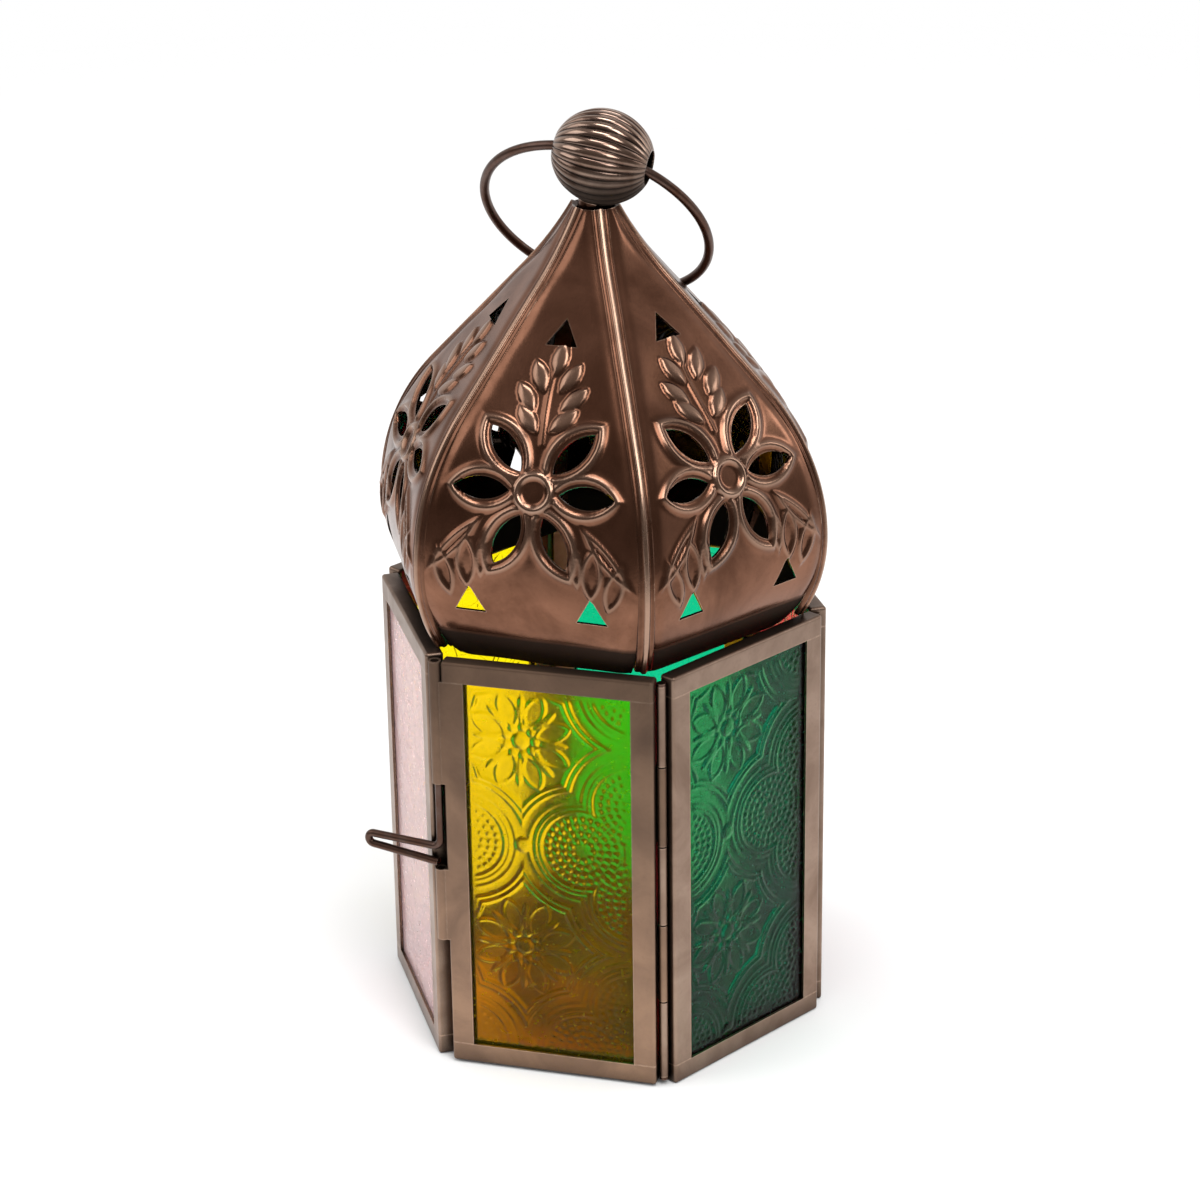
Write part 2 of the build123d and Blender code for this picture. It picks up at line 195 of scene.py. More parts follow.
class LanternFinishes(bpy.types.PropertyGroup):
    """Colours of the lantern's metals and glass."""

    copper: colour("Copper", "Bare antique copper", (0.26, 0.123, 0.076))
    patina: colour("Patina", "Darkened copper", (0.082, 0.034, 0.019))
    bead: colour("Bead", "Bare metal of the bead", (0.40, 0.29, 0.235))
    frame_tin: colour("Frame metal", "Bare metal of the frames", (0.39, 0.275, 0.21))
    frame_patina: colour("Frame patina", "Darkened metal of the frames", (0.21, 0.133, 0.094))
    door_tin: colour("Door metal", "Bare metal of the door's frame", (0.36, 0.225, 0.15))
    # Rubbed bright metal on edges; on raised relief the same colour also serves as a painted highlight.
    burnish_and_highlight: colour("Burnish", "Metal rubbed bright on edges", (0.62, 0.44, 0.33))
    # This near-black colour is painted shade: it is laid into corners, hollows, inner faces and bands by
    # height where shade would fall, not dirt.
    painted_shade: colour("Soot", "Dirt in the corners", (0.012, 0.009, 0.007))
    wire: colour("Wire", "Metal of the ring and the latch", (0.115, 0.077, 0.064))
    solder: colour("Solder", "Dull soft solder", (0.34, 0.29, 0.25))
    inner: colour("Inner tin", "Tray and candle cup", (0.95, 0.44, 0.26))
    amber: colour("Amber glass", "Light through one amber pane", (1.0, 0.815, 0.005))
    green: colour("Green glass", "Light through one green pane", (0.006, 0.50, 0.24))
    red: colour("Red glass", "Light through one red pane", (0.72, 0.035, 0.05))
    rose: colour("Rose glass", "Light through the pale rose pane", (0.92, 0.66, 0.66))


class StageSettings(bpy.types.PropertyGroup):
    """Camera, lamps, floor and surroundings."""

    azimuth: turn("Azimuth", "Camera's compass angle", 15.538)
    elevation: turn("Elevation", "Camera's angle above the floor", 23.128)
    distance: length("Distance", "Camera to the point it looks at", 676.85)
    aim_across: length("Aim across", "Aim to the right of the lantern's axis", -0.24)
    aim_height: length("Aim height", "Height of the aim", 82.901)
    roll: turn("Roll", "Camera's roll", -0.853)
    lens: FloatProperty(name="Lens", description="Focal length", default=105.372, unit="CAMERA")
    floor_colour: colour("Floor", "Pale floor", (0.90, 0.90, 0.90))
    floor_radius: length("Floor radius", "Radius of the round floor", 800)
    floor_plain: length("Plain floor", "Radius where the floor starts to fade into the backdrop", 200)
    ambient: share("Ambient", "Strength of the surroundings on dull surfaces", 0.84)
    room: colour("Room", "What polished metal sees in front", (0.16, 0.14, 0.13))
    backdrop: colour("Backdrop", "What polished metal sees behind", (0.85, 0.84, 0.83))
    ceiling: colour("Ceiling", "What polished metal sees overhead", (0.34, 0.31, 0.30))


def sizes_of(group):
    """Settings of one group on the scene."""
    return getattr(bpy.context.scene, "lantern_" + group)


# Meshes


def heading(angle):
    """Level unit vector at a compass angle in radians."""
    return np.array((sin(angle), -cos(angle), 0.0))


def mesh_piece(name, points, faces, material, crisp=180, **attributes):
    """Object of one smooth mesh in the row frame, with edges above an angle in degrees crisp."""
    mesh = bpy.data.meshes.new(name)
    mesh.from_pydata(np.asarray(points, float).tolist(), [], [list(map(int, f)) for f in faces])
    mesh.update()
    for key, values in attributes.items():
        attribute = mesh.attributes.new(key, "FLOAT", "POINT")
        attribute.data.foreach_set("value", np.asarray(values, np.float32))
    mesh.polygons.foreach_set("use_smooth", [True] * len(mesh.polygons))
    mesh.set_sharp_from_angle(angle=radians(crisp))
    mesh.materials.append(material)
    piece = bpy.data.objects.new(name, mesh)
    bpy.context.collection.objects.link(piece)
    return piece


def place(piece, body, slot, node):
    """Rides the piece on its body, in the place of the node it shows."""
    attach(piece, body)
    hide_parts(node)


def grid_faces(rows, columns, closed_rows=False, closed_columns=False):
    """Quads over a grid of points stored row by row."""
    down = rows if closed_rows else rows - 1
    across = columns if closed_columns else columns - 1
    i, j = np.meshgrid(np.arange(down), np.arange(across), indexing="ij")
    i2 = (i + 1) % rows
    j2 = (j + 1) % columns
    quads = np.stack([i * columns + j, i * columns + j2, i2 * columns + j2, i2 * columns + j], -1)
    return quads.reshape(-1, 4)


def thick_sheet(outer, inner, triangles):
    """Points and faces of a closed sheet between two copies of one triangle mesh."""
    count = len(outer)
    edges = np.concatenate([triangles[:, [0, 1]], triangles[:, [1, 2]], triangles[:, [2, 0]]])
    seen = set(map(tuple, edges))
    rim = np.array([edge for edge in map(tuple, edges) if edge[::-1] not in seen])
    walls = np.column_stack([rim[:, 1], rim[:, 0], rim[:, 0] + count, rim[:, 1] + count])
    faces = [*triangles, *(triangles[:, ::-1] + count), *walls]
    return np.concatenate([outer, inner]), faces


# Roof


def circle_at(centre, radius, angle):
    """Point on a circle of the roof's upright outline, with the angle in radians."""
    return centre[0] + radius * np.cos(angle), centre[1] + radius * np.sin(angle)


class RoofOutline:
    """Outer line of a roof panel's middle, read by the length along it from the flower."""

    step = 0.2 * MM

    def __init__(self, roof, foot_apothem, lower_edge):
        bulge = roof.belly_apothem - foot_apothem
        rise = roof.belly_height - roof.foot_height
        skirt = (rise**2 + bulge**2) / (2 * bulge)
        skirt_centre = (roof.belly_apothem - skirt, roof.belly_height)
        top = (roof.top_apothem, roof.top_height)
        flare_centre = circle_at(top, roof.flare_radius, roof.top_lean)
        flare_start = circle_at(flare_centre, -roof.flare_radius, roof.slope)
        run = (flare_start[0] - roof.belly_apothem) * cos(roof.slope)
        climb = (flare_start[1] - roof.belly_height) * sin(roof.slope)
        belly = (run + climb) / (1 - cos(roof.slope))
        belly_centre = (roof.belly_apothem - belly, roof.belly_height)
        low = -asin((roof.belly_height - lower_edge) / skirt)
        parts = [
            self.arc(skirt_centre, skirt, low, 0),
            self.arc(belly_centre, belly, 0, roof.slope),
            self.arc(flare_centre, -roof.flare_radius, roof.slope, roof.top_lean),
        ]
        self.out, self.height, self.lean = np.concatenate(parts, 1)
        steps = np.hypot(np.diff(self.out), np.diff(self.height))
        self.along = np.concatenate([[0], np.cumsum(steps)])
        self.along -= np.interp(roof.flower_height, self.height, self.along)

    def arc(self, centre, radius, start, end):
        """Samples of one arc: distance out, height and angle of the normal."""
        count = max(2, int(abs(radius * (end - start)) / self.step))
        angles = np.linspace(start, end, count)
        return np.array([*circle_at(centre, radius, angles), angles])

    def at(self, along):
        """Distance out, height and angle of the normal at lengths along the line."""
        return [np.interp(along, self.along, row) for row in (self.out, self.height, self.lean)]

    def along_at(self, height):
        """Length along the line at a height."""
        return float(np.interp(height, self.height, self.along))


def lens_distance(along, across, half_length, half_width):
    """Signed distance to a pointed oval of two arcs, negative inside."""
    radius = (half_length**2 + half_width**2) / (2 * half_width)
    return np.hypot(np.abs(across) + radius - half_width, along) - radius


def lens_outline(half_length, half_width, count):
    """Points round a pointed oval whose length lies along the second coordinate."""
    radius = (half_length**2 + half_width**2) / (2 * half_width)
    reach = asin(half_length / radius)
    angles = np.linspace(-reach, reach, count)[:-1]
    side = np.column_stack([radius * np.cos(angles) - radius + half_width, radius * np.sin(angles)])
    return np.concatenate([side, -side])


def turned_points(points, angle, centre):
    """Points turned clockwise by an angle, then moved to a centre."""
    x, y = points.T
    turned = np.column_stack([x * cos(angle) + y * sin(angle), y * cos(angle) - x * sin(angle)])
    return turned + centre


# Ornament of a roof panel, in millimetres from the flower's middle. Heights are parts of the relief.
# Petals of the flower: angle from upright in radians, and the reach of the ridge round the opening.
PETALS = [
    (radians(side * angle), reach)
    for angle, reach in ((40, 17.0), (90, 15.9), (153, 17.2))
    for side in (-1, 1)
]
PETAL_MARGIN = 1.5  # from the side of an opening to the ridge round it
OPENING_DIP = 0.5  # how deep the sheet dips round an opening, and over what width
OPENING_DIP_WIDTH = 0.8
PETAL_FADE = 3.4  # where the petals' ridges have faded out towards the boss
RIDGE_WIDTH = 0.85
BOSS_RADIUS = 3.2
BOSS_HEIGHT = 1.35
BOSS_FLAT = 2.2  # radius of the flat middle of the boss
BOSS_LEVEL = 0.15
# Sprig above the flower. Leaflets: across, up, lean from upright in degrees.
SPRIG_LEAVES = [
    (0.5, 25.4, 6),
    (-2.6, 21.8, -24),
    (3.2, 21.9, 30),
    (-4.3, 17.6, -36),
    (4.7, 17.8, 42),
    (-3.3, 13.4, -40),
    (3.6, 13.6, 44),
]
LEAFLET = (3.5, 1.7)  # half length and half width
LEAFLET_DOME = 1.5
STEM_MIDDLE = 15.5
STEM_HALF = 7
STEM_SWAY = 0.35
STEM_HEIGHT = 0.5
STEM_WIDTH = 0.5
# Leaves of the bud over each lower triangle: across (outwards) and up from end to end, half width.
BUD_LEAVES = [
    ((11.9, -18.4), (12.2, -9.4), 1.7),
    ((15.2, -20.4), (17.6, -12.2), 1.5),
    ((10.6, -6.4), (18.8, -15.4), 0.9),
    ((9.3, -16.2), (8.8, -9.4), 0.9),
]
BUD_HEIGHT = 0.8
BUD_RIDGE = 0.62
BUD_HOLLOW = 0.45  # depth inside a leaf's ridge, how far in it starts, and over what width it falls
BUD_HOLLOW_START = 0.35
BUD_HOLLOW_WIDTH = 0.7
PETAL_POINTS = 30  # along one side of a petal's opening
TRIANGLE_POINTS = 14  # along one side of a small triangle


def bump(distance, width):
    """Rounded ridge of height 1 about distance 0."""
    return np.exp(-((distance / width) ** 2))


def swell(distance, width):
    """Rounded dome: 1 well inside a shape and 0 outside it."""
    x = np.clip(-distance / width, 0, 1)
    return np.sqrt(1 - (1 - x) ** 2)


def leaning(x, y, run):
    """Lengths along a direction, given as across and up, and square to it."""
    return x * run[0] + y * run[1], x * run[1] - y * run[0]


def pressed_relief(roof, across, up):
    """Height of the pressed ornament at points of a roof panel, in parts of the relief."""
    x = across / MM
    y = up / MM
    start = roof.petal_start / MM
    half_length = roof.petal_length / MM / 2
    half_open = roof.petal_width / MM / 2
    height = np.zeros_like(x)
    for angle, reach in PETALS:
        along, aside = leaning(x, y, (sin(angle), cos(angle)))
        middle = (reach + BOSS_RADIUS) / 2
        ridge = lens_distance(along - middle, aside, (reach - BOSS_RADIUS) / 2, half_open + PETAL_MARGIN)
        opening = lens_distance(along - start - half_length, aside, half_length, half_open)
        height = np.maximum(height, bump(ridge, RIDGE_WIDTH))
        # Inside its ridge the sheet dips towards the opening.
        height -= OPENING_DIP * bump(opening, OPENING_DIP_WIDTH) * (ridge < -0.5)
    # The ridges fade out before the boss, which is a ring round a flat middle.
    radius = np.hypot(x, y)
    faded = np.maximum(height * np.clip(radius - PETAL_FADE, 0, 1), 0)
    height = np.where(radius < PETAL_FADE + 1, faded, height)
    height = np.maximum(height, BOSS_HEIGHT * bump(radius - BOSS_RADIUS, RIDGE_WIDTH))
    height = np.where(radius < BOSS_FLAT, np.maximum(height, BOSS_LEVEL), height)
    # The sprig's stem sways a little, and runs out at both ends.
    off_stem = np.abs(x - STEM_SWAY * np.sin(y / 4))
    past_end = np.clip(np.abs(y - STEM_MIDDLE) - STEM_HALF, 0, None)
    height = np.maximum(height, STEM_HEIGHT * bump(off_stem + 3 * past_end, STEM_WIDTH))
    for leaf_x, leaf_y, lean in SPRIG_LEAVES:
        run = sin(radians(lean)), cos(radians(lean))
        leaf = lens_distance(*leaning(x - leaf_x, y - leaf_y, run), *LEAFLET)
        height = np.maximum(height, swell(leaf, LEAFLET_DOME))
    for (x1, y1), (x2, y2), half in BUD_LEAVES:
        reach = np.hypot(x2 - x1, y2 - y1)
        run = (x2 - x1) / reach, (y2 - y1) / reach
        for side in (-1, 1):
            axes = leaning(x * side - (x1 + x2) / 2, y - (y1 + y2) / 2, run)
            leaf = lens_distance(*axes, reach / 2, half)
            height = np.maximum(height, BUD_HEIGHT * bump(leaf, BUD_RIDGE))
            inward = np.minimum(leaf + BUD_HOLLOW_START, 0)
            height -= BUD_HOLLOW * (1 - bump(inward, BUD_HOLLOW_WIDTH))
    return height


def panel_holes(roof, outline):
    """Outlines of a panel's openings as points across and up from the flower's middle."""
    petal = lens_outline(roof.petal_length / 2, roof.petal_width / 2, PETAL_POINTS)
    reach = roof.petal_start + roof.petal_length / 2
    holes = [turned_points(petal, a, (reach * sin(a), reach * cos(a))) for a, _ in PETALS]
    corners = np.array([(-1, -1), (1, -1), (0, 1)]) * (roof.triangle_base / 2, roof.triangle_rise / 2)
    edge = np.linspace(0, 1, TRIANGLE_POINTS, endpoint=False)[:, None]
    triangle = np.concatenate([a + edge * (b - a) for a, b in zip(corners, np.roll(corners, -1, 0))])
    low = outline.along_at(roof.lower_triangle)
    places = [
        (0, outline.along_at(roof.upper_triangle)),
        (-roof.lower_spread, low),
        (roof.lower_spread, low),
    ]
    return holes + [triangle + place for place in places]


def inside_any(points, loops):
    """Which points lie in any of the closed loops."""
    found = np.zeros(len(points), bool)
    for loop in loops:
        x1, y1 = loop[:, 0], loop[:, 1]
        x2, y2 = np.roll(x1, -1), np.roll(y1, -1)
        px, py = points[:, :1], points[:, 1:]
        crosses = (y1 > py) != (y2 > py)
        reach = x1 + (py - y1) * (x2 - x1) / np.where(y2 == y1, 1e-12, y2 - y1)
        found |= (crosses & (px < reach)).sum(1) % 2 == 1
    return found


def near_any(points, loops, distance):
    """Which points lie nearer than a distance to any loop's points."""
    found = np.zeros(len(points), bool)
    for loop in loops:
        low, high = loop.min(0) - distance, loop.max(0) + distance
        close = np.flatnonzero(((points > low) & (points < high)).all(1))
        gaps = points[close][:, None] - loop[None]
        found[close] |= (gaps**2).sum(2).min(1) < distance**2
    return found


WIDEST = 60 * MM  # more than any panel's half width


def panel_sheet(roof, outline):
    """Flat triangle mesh of a roof panel with its openings: points, triangles and its half width."""
    step = roof.mesh_step
    margin = (roof.seam_width / 2 + roof.seam_groove) / cos(HALF_SIDE)

    def half_width(up):
        return outline.at(up)[0] * tan(HALF_SIDE) - margin

    low, high = outline.along[0], outline.along[-1]
    side = np.linspace(low, high, int((high - low) / step))
    right = np.column_stack([half_width(side), side])
    left = right[::-1] * (-1, 1)
    foot = np.linspace(-1, 1, int(2 * half_width(low) / step))[1:-1] * half_width(low)
    border = np.concatenate([right, left, np.column_stack([foot, np.full_like(foot, low)])])
    holes = panel_holes(roof, outline)
    loops = [border, *holes]
    # Inner points lie on a triangular grid, about half a step or more clear of every edge.
    rows = np.arange(low, high, step * sin(pi / 3))
    inner = []
    for k, up in enumerate(rows):
        reach = float(half_width(up)) - 0.5 * step
        line = np.arange(-WIDEST, WIDEST, step) + (k % 2) * step / 2
        line = line[np.abs(line) < reach]
        inner.append(np.column_stack([line, np.full_like(line, up)]))
    inner = np.concatenate(inner)
    inner = inner[~inside_any(inner, holes) & ~near_any(inner, loops, 0.55 * step)]
    points = np.concatenate([*loops, inner])
    edges = []
    first = 0
    for loop in loops:
        count = len(loop)
        edges += [(first + i, first + (i + 1) % count) for i in range(count)]
        first += count
    flat = [Vector((x / MM, y / MM)) for x, y in points]
    made = delaunay_2d_cdt(flat, edges, [], 0, 1e-6)
    points = np.array([tuple(v) for v in made[0]]) * MM
    triangles = np.array([f for f in made[2] if len(f) == 3])
    middles = points[triangles].mean(1)
    keep = inside_any(middles, [border]) & ~inside_any(middles, holes)
    triangles = triangles[keep]
    a, b, c = (points[triangles[:, i]] for i in range(3))
    area = (b - a)[:, 0] * (c - a)[:, 1] - (b - a)[:, 1] * (c - a)[:, 0]
    triangles[area < 0] = triangles[area < 0][:, ::-1]
    used, triangles = np.unique(triangles, return_inverse=True)
    return points[used], triangles.reshape(-1, 3), half_width


def sheet_waves(x, y, seed, size):
    """Gentle seeded waviness of hand-worked sheet, about 1 high, with waves of about that size."""
    count = 7
    random = np.random.default_rng(seed)
    total = np.zeros_like(x)
    for _ in range(count):
        angle = random.uniform(0, 2 * pi)
        wave = size * random.uniform(0.7, 1.6)
        phase = random.uniform(0, 2 * pi)
        total += np.sin((x * cos(angle) + y * sin(angle)) * 2 * pi / wave + phase)
    return total / count**0.5


class LANTERN_OT_roof_panels(bpy.types.Operator):
    """Presses and pierces the six roof panels"""

    bl_idname = "lantern.roof_panels"
    bl_label = "Roof panels"

    def execute(self, context):
        roof = sizes_of("roof")
        outline = RoofOutline(roof, roof.hem_apothem, roof.hem_height)
        flat, triangles, half_width = panel_sheet(roof, outline)
        across, up = flat.T
        out, height, lean = outline.at(up)
        relief = pressed_relief(roof, across, up)
        edge = half_width(up) - np.abs(across)
        roll = roof.edge_roll * bump(edge, roof.edge_bend)
        material = worn_metal("roof copper")
        for number, (name, azimuth) in enumerate(PANELS.items()):
            angle = radians(azimuth) + roof.turned
            waves = PANEL_WAVE * sheet_waves(across, up, PANEL_SEED + number, PANEL_WAVE_LENGTH)
            raised = relief * roof.relief + waves - roll - roof.sheet_sink
            normal = np.cos(lean)[:, None] * heading(angle) + np.sin(lean)[:, None] * (0, 0, 1)
            face = out[:, None] * heading(angle) + across[:, None] * heading(angle + pi / 2)
            face = face + height[:, None] * (0, 0, 1) + raised[:, None] * normal
            points, faces = thick_sheet(face, face - roof.sheet * normal, triangles)
            # The inner face gets the lowest relief, so the finish paints it dark as painted shade.
            relief_shading = np.concatenate([relief, -np.ones_like(relief)])
            piece = mesh_piece(f"pressed_panel_{name}", points, faces, material, crisp=65, relief=relief_shading)
            place(piece, "body", "roof_metal", f"roof_panel_{name}")
        return {"FINISHED"}


class LANTERN_OT_roof_seams(bpy.types.Operator):
    """Lays the six strips over the roof's corners"""

    bl_idname = "lantern.roof_seams"
    bl_label = "Roof seams"

    def execute(self, context):
        roof = sizes_of("roof")
        outline = RoofOutline(roof, roof.foot_apothem, roof.foot_height)
        rows = 220
        columns = 35
        along = np.linspace(outline.along[0], outline.along[-1], rows)
        out, height, _ = outline.at(along)
        drop = roof.seam_width / 2 * tan(HALF_SIDE)
        ridge = out / cos(HALF_SIDE) - drop
        run = np.column_stack([np.gradient(ridge), np.gradient(height)])
        run /= np.linalg.norm(run, axis=1)[:, None]
        # The section has a steep flat-topped ridge, flat flanges, and edges that dip under the panels.
        half = roof.seam_width / 2 + roof.seam_groove
        across = np.linspace(-half, half, columns)
        crown = 1 / (1 + (2 * np.abs(across) / roof.seam_ridge) ** 6)
        tuck = (np.abs(across) / half) ** 12
        upper = np.column_stack([across, roof.seam_sink * (crown - 1) - roof.sheet * tuck])
        lower = upper[[-1, 0]] - (0, roof.sheet)
        section = np.concatenate([upper, lower])
        count = len(section)
        # The ridge's crown gets the rubbed-bright colour as a painted highlight, and the flanges a
        # little painted shade.
        relief_shading = np.tile(np.interp(section[:, 1], (-roof.seam_sink, 0), (-0.1, 1.3)), rows)
        faces = [*grid_faces(rows, count, closed_columns=True)]
        faces.append(range(count)[::-1])
        faces.append(range((rows - 1) * count, rows * count))
        material = worn_metal("seam copper")
        for number, (name, azimuth) in enumerate(SEAMS.items()):
            angle = radians(azimuth) + roof.turned
            wobble = STRIP_WAVE * sheet_waves(along, along * 0, STRIP_SEED + number, STRIP_WAVE_LENGTH)
            radial = heading(angle)
            normal = run[:, 1:] * radial - run[:, :1] * (0, 0, 1)
            middle = ridge[:, None] * radial + height[:, None] * (0, 0, 1)
            rings = (
                middle[:, None]
                + (section[None, :, :1] + wobble[:, None, None]) * heading(angle + pi / 2)
                + section[None, :, 1:] * normal[:, None]
            )
            points = rings.reshape(-1, 3)
            points[:, 2] = np.maximum(points[:, 2], roof.foot_height)
            piece = mesh_piece(f"corner_strip_{name}", points, faces, material, crisp=40, relief=relief_shading)
            place(piece, "body", "roof_metal", f"roof_seam_{name}")
        return {"FINISHED"}


# Finial


FLUTE_ROUNDNESS = 0.55  # 1 gives a flute the back of a sine wave, and less a flatter one
BEAD_UNEVEN = 0.08 * MM


class LANTERN_OT_finial(bpy.types.Operator):
    """Makes the fluted bead and finishes its stub and cap"""

    bl_idname = "lantern.finial"
    bl_label = "Finial"

    def execute(self, context):
        size = sizes_of("finial")
        low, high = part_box("finial_bead")
        centre = np.array((low + high) / 2)
        half_length = size.bead_length / 2
        radius = size.bead_diameter / 2
        start = asin(size.bead_hole / size.bead_diameter)
        rows = 72
        flute_columns = 10
        columns = size.flutes * flute_columns
        polar = np.linspace(start, pi - start, rows)[:, None]
        round_it = np.linspace(0, 2 * pi, columns, endpoint=False)[None]
        lobe = np.abs(np.sin(size.flutes * round_it / 2)) ** FLUTE_ROUNDNESS
        # The flutes run out towards the poles, and the bead is a little out of round.
        fade = np.clip(np.sin(polar) * 1.25 - 0.22, 0, 1)
        uneven = BEAD_UNEVEN * np.sin(3 * round_it + 1.3) * np.sin(2 * polar)
        outer = radius * np.sin(polar) - size.flute_depth * fade * (1 - lobe) + uneven
        inner = np.maximum((radius - size.bead_sheet) * np.sin(polar), size.bead_hole / 2)
        inner = inner - size.flute_depth * fade + 0 * round_it

        def shell(span, ring):
            along = span * np.cos(polar) + 0 * round_it
            return np.stack([along, ring * np.cos(round_it), ring * np.sin(round_it)], -1)

        outside = shell(half_length, outer)
        inside = shell(half_length - size.bead_sheet, inner)
        points = np.concatenate([outside, inside[::-1]]).reshape(-1, 3)
        spin = np.array(Matrix.Rotation(size.tilt, 3, "Y"))
        points = points @ spin.T + centre
        faces = grid_faces(2 * rows, columns, closed_rows=True, closed_columns=True)[:, ::-1]
        # Flute crests get the rubbed-bright colour as a painted highlight, and the grooves and the
        # inside get painted shade.
        relief_shading = np.concatenate([(1.6 * lobe**2 - 0.6).repeat(rows, 0).ravel(), -np.ones(rows * columns)])
        piece = mesh_piece("fluted_bead", points, faces, worn_metal("bead copper"), relief=relief_shading)
        place(piece, "body", "bead_metal", "finial_bead")
        finish_nodes("roof copper", "finial_neck", "roof_cap")
        return {"FINISHED"}


# Glass


# Pattern of the glass in millimetres: medallions of four lobes, and flowers between them.
LOBE_REACH = 10.0  # from a medallion's middle to a lobe's
LOBES = ((1, -1, 0, 0), (0, 0, 1, -1))  # across and up
LOBE_LINES = ((12.5, 0.8), (13.6, 1.0), (8.1, 0.8), (9.0, 0.55), (10.3, 0.4))  # radius and height
LINE_WIDTH = 0.34
DOT_RINGS = (6.6, 5.1, 3.6, 2.1)
DOT_PITCH = 1.5
DOT_WIDTH = 0.42
DOT_HEIGHT = 0.85
KNOT_RADIUS = 1.6  # knots between neighbouring medallions
KNOT_HEIGHT = 1.1
EYE_RADIUS = 1.6  # middle of a flower
EYE_BEADS = 9
EYE_BEAD_RING = 2.95
EYE_BEAD_RADIUS = 0.85
EYE_BEAD_HEIGHT = 0.9
FLOWER_PETALS = 8  # broad ones, and as many narrow ones between them
# Turn of the first petal, then from the flower's middle to a petal's, half length and half width.
BROAD_PETAL = (radians(20), 6.7, 3.5, 1.75)
NARROW_PETAL = (radians(42.5), 6.4, 3.0, 0.8)
BROAD_LINE = 0.75  # height of the line round a broad petal, and of the dome in it
BROAD_DOME = 0.3
NARROW_DOME = 0.9
# Widths of the line, and over which the knots, eyes, beads and petals rise from their edges.
BROAD_LINE_WIDTH = 0.28
KNOT_RISE = 1.2
EYE_RISE = 1.0
EYE_BEAD_RISE = 0.7
BROAD_RISE = 1.4
NARROW_RISE = 0.7
BORDER_FADE = 1.2 * MM  # over which the pattern starts inside a pane's border


def wrapped(value, period):
    """Distance past the nearest multiple of a period."""
    return (value + period / 2) % period - period / 2


def glass_relief(glass, x, z):
    """Height of the pattern at points of a pane, in parts of the relief."""
    pitch = glass.pitch / MM
    x = x / MM - glass.medallion_x / MM
    z = z / MM - glass.medallion_z / MM
    medal_x, medal_z = wrapped(x, pitch), wrapped(z, pitch)
    flower_x, flower_z = wrapped(x - pitch / 2, pitch), wrapped(z - pitch / 2, pitch)
    # Lines and rings of dots round the nearest lobe of a medallion.
    lobes = np.stack(
        [np.hypot(medal_x - LOBE_REACH * i, medal_z - LOBE_REACH * j) for i, j in zip(*LOBES)]
    )
    nearest = lobes.argmin(0)
    radius = lobes.min(0)
    lobe_x = medal_x - LOBE_REACH * np.choose(nearest, LOBES[0])
    lobe_z = medal_z - LOBE_REACH * np.choose(nearest, LOBES[1])
    around = np.arctan2(lobe_z, lobe_x)
    height = np.zeros_like(x)
    for line, strength in LOBE_LINES:
        height = np.maximum(height, strength * bump(radius - line, LINE_WIDTH))
    for ring in DOT_RINGS:
        off = wrapped(around, 2 * pi / round(2 * pi * ring / DOT_PITCH))
        dot = np.hypot(radius - ring, radius * off)
        height = np.maximum(height, DOT_HEIGHT * bump(dot, DOT_WIDTH))
    knot = np.minimum(np.hypot(flower_x, medal_z), np.hypot(medal_x, flower_z))
    height = np.maximum(height, KNOT_HEIGHT * swell(knot - KNOT_RADIUS, KNOT_RISE))
    # A flower: its eye, a ring of beads, outlined broad petals and domed narrow ones.
    away = np.hypot(flower_x, flower_z)
    spin = np.arctan2(flower_z, flower_x)
    height = np.maximum(height, swell(away - EYE_RADIUS, EYE_RISE))
    bead = np.hypot(away - EYE_BEAD_RING, away * wrapped(spin, 2 * pi / EYE_BEADS))
    height = np.maximum(height, EYE_BEAD_HEIGHT * swell(bead - EYE_BEAD_RADIUS, EYE_BEAD_RISE))

    def petals(shift, middle, half_length, half_width):
        off = wrapped(spin - shift, 2 * pi / FLOWER_PETALS)
        return lens_distance(away * np.cos(off) - middle, away * np.sin(off), half_length, half_width)

    broad = petals(*BROAD_PETAL)
    line = BROAD_LINE * bump(broad, BROAD_LINE_WIDTH)
    height = np.maximum(height, line + BROAD_DOME * swell(broad, BROAD_RISE))
    return np.maximum(height, NARROW_DOME * swell(petals(*NARROW_PETAL), NARROW_RISE))


